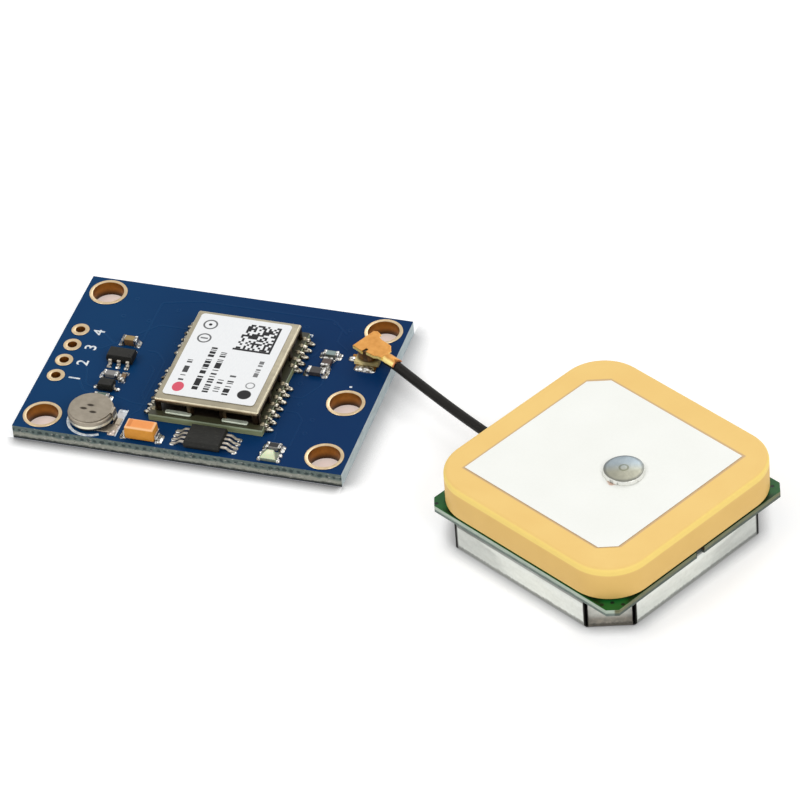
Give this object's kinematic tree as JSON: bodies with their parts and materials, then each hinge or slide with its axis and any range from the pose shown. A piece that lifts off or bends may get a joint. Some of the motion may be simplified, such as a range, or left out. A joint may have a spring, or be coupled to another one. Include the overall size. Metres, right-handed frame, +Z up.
{
  "type": "satellite positioning module",
  "caption": "Blue receiver board with a shielded receiver, backup cell and lamp, joined by a short coaxial lead to a ceramic patch antenna on its shielded amplifier board.",
  "frame": {"origin": "middle of the main board's underside", "axes": "+X along the main board's long side, away from the header holes; +Y towards the board's back edge; +Z up"},
  "size_m": [0.0798, 0.0413, 0.0087],
  "materials": {
    "black_jacket": "extruded",
    "black_mould": "moulded",
    "blue_mask": "satin solder mask",
    "brown_ceramic": "fired",
    "cell_steel": "pressed",
    "glue": "double-sided tape",
    "gold": "gold plate",
    "green_mask": "satin solder mask",
    "label_paper": "smooth",
    "lamp_resin": "cast resin",
    "orange_mould": "moulded",
    "patch_ceramic": "unglazed",
    "resistor_coat": "glass coat",
    "shield_sheet": "tinned sheet",
    "silver_film": "fired silver paste",
    "tin": "tin plate",
    "white_plastic": "moulded"
  },
  "bodies": {
    "root": {"amplifier_capacitor_1": "brown_ceramic", "amplifier_capacitor_2": "brown_ceramic", "amplifier_chip": "black_mould", "amplifier_filter": "tin", "amplifier_inductor": "brown_ceramic", "antenna_board": "green_mask", "antenna_shield": "shield_sheet", "bias_capacitor": "brown_ceramic", "bias_inductor": "brown_ceramic", "bias_resistor": "resistor_coat", "cell_can": "cell_steel", "cell_cap": "cell_steel", "cell_lower_tab": "tin", "cell_resistor": "resistor_coat", "cell_seal": "black_mould", "cell_upper_tab": "tin", "coax_braid": "tin", "coax_core": "white_plastic", "coax_lead": "black_jacket", "connector_housing": "white_plastic", "connector_pin": "gold", "connector_ring": "gold", "feed_pin": "tin", "feed_solder": "tin", "filter_capacitor": "brown_ceramic", "glue_pad": "glue", "ground_electrode": "silver_film", "header_eyelet_1": "gold", "header_eyelet_2": "gold", "header_eyelet_3": "gold", "header_eyelet_4": "gold", "input_filter": "tin", "lamp_base": "white_plastic", "lamp_lens": "lamp_resin", "lamp_resistor": "resistor_coat", "main_board": "blue_mask", "memory_chip": "black_mould", "patch_ceramic": "patch_ceramic", "patch_electrode": "silver_film", "plug_contact": "gold", "plug_insulator": "white_plastic", "plug_shell": "gold", "protection_diode": "black_mould", "receiver_board": "green_mask", "receiver_chip": "black_mould", "receiver_label": "label_paper", "receiver_shield": "shield_sheet", "reference_oscillator": "tin", "screw_eyelet_back_left": "gold", "screw_eyelet_back_right": "gold", "screw_eyelet_front_left": "gold", "screw_eyelet_front_right": "gold", "screw_eyelet_middle_right": "gold", "series_resistor": "resistor_coat", "supply_capacitor": "brown_ceramic", "tantalum_body": "orange_mould", "tantalum_terminal_left": "tin", "tantalum_terminal_right": "tin", "voltage_regulator": "black_mould"}
  },
  "joints": []
}
